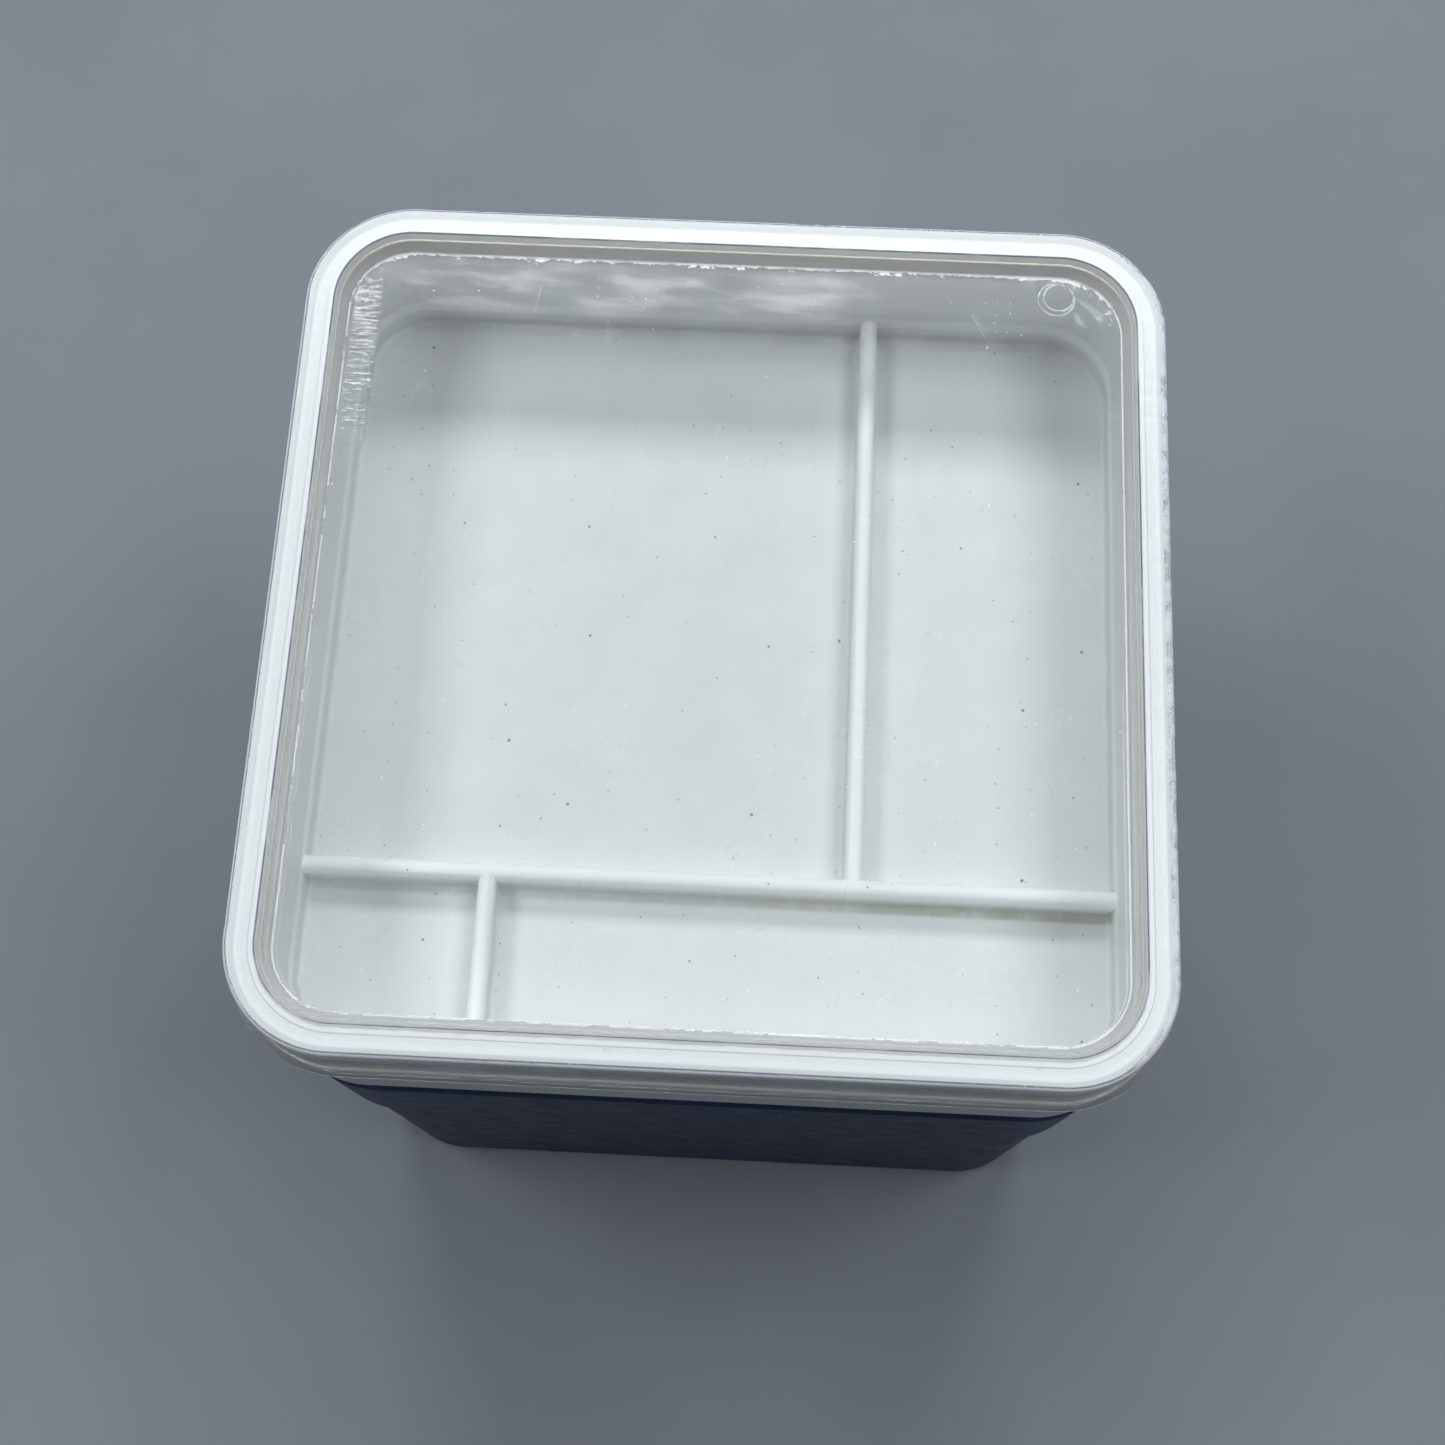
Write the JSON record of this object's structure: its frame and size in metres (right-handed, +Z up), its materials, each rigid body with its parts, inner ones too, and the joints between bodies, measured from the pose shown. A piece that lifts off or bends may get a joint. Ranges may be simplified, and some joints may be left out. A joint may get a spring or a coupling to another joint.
{
  "type": "wet palette",
  "caption": "Square stacking wet palette: clear lid, divided paint tray, sponge tray with membrane sheet, and a deep rinsing basin with a lift-out divider.",
  "frame": {"origin": "centre of the footprint, on the surface the feet stand on", "axes": "+Z up through the stack, +X to the right and +Y to the back, with the long palette ridge towards -Y"},
  "size_m": [0.1228, 0.1228, 0.132],
  "materials": {
    "navy_plastic": "satin moulded plastic",
    "divider_plastic": "fine matt moulded plastic",
    "dark_silicone": "soft matt silicone",
    "foot_rubber": "matt rubber",
    "sponge": "open-cell sponge",
    "membrane_paper": "smooth translucent paper",
    "white_plastic": "satin white moulded plastic",
    "pale_silicone": "milky silicone",
    "clear_plastic": "clear polystyrene, lightly scuffed"
  },
  "bodies": {
    "basin": {"water_basin": "navy_plastic", "scrub_grid": "divider_plastic", "basin_seal": "dark_silicone", "foot_front_left": "foot_rubber", "foot_front_right": "foot_rubber", "foot_back_left": "foot_rubber", "foot_back_right": "foot_rubber"},
    "divider": {"basin_divider": "divider_plastic"},
    "wet_tier": {"sponge_tray": "navy_plastic", "tray_seal": "dark_silicone"},
    "sponge": {"sponge_pad": "sponge"},
    "sheet": {"palette_sheet": "membrane_paper"},
    "palette": {"palette_tray": "white_plastic"},
    "lid": {"clear_lid": "clear_plastic", "lid_seal": "pale_silicone"}
  },
  "joints": [
    {"name": "divider_lift", "type": "slide", "parent": "basin", "child": "divider", "axis": [0, 0, 1], "range_m": [0, 0.09]},
    {"name": "wet_tier_lift", "type": "slide", "parent": "divider", "child": "wet_tier", "axis": [0, 0, 1], "range_m": [0, 0.04]},
    {"name": "sponge_lift", "type": "slide", "parent": "wet_tier", "child": "sponge", "axis": [0, 0, 1], "range_m": [0, 0.04]},
    {"name": "sheet_lift", "type": "slide", "parent": "sponge", "child": "sheet", "axis": [0, 0, 1], "range_m": [0, 0.03]},
    {"name": "palette_lift", "type": "slide", "parent": "sheet", "child": "palette", "axis": [0, 0, 1], "range_m": [0, 0.04]},
    {"name": "lid_lift", "type": "slide", "parent": "palette", "child": "lid", "axis": [0, 0, 1], "range_m": [0, 0.04]}
  ]
}
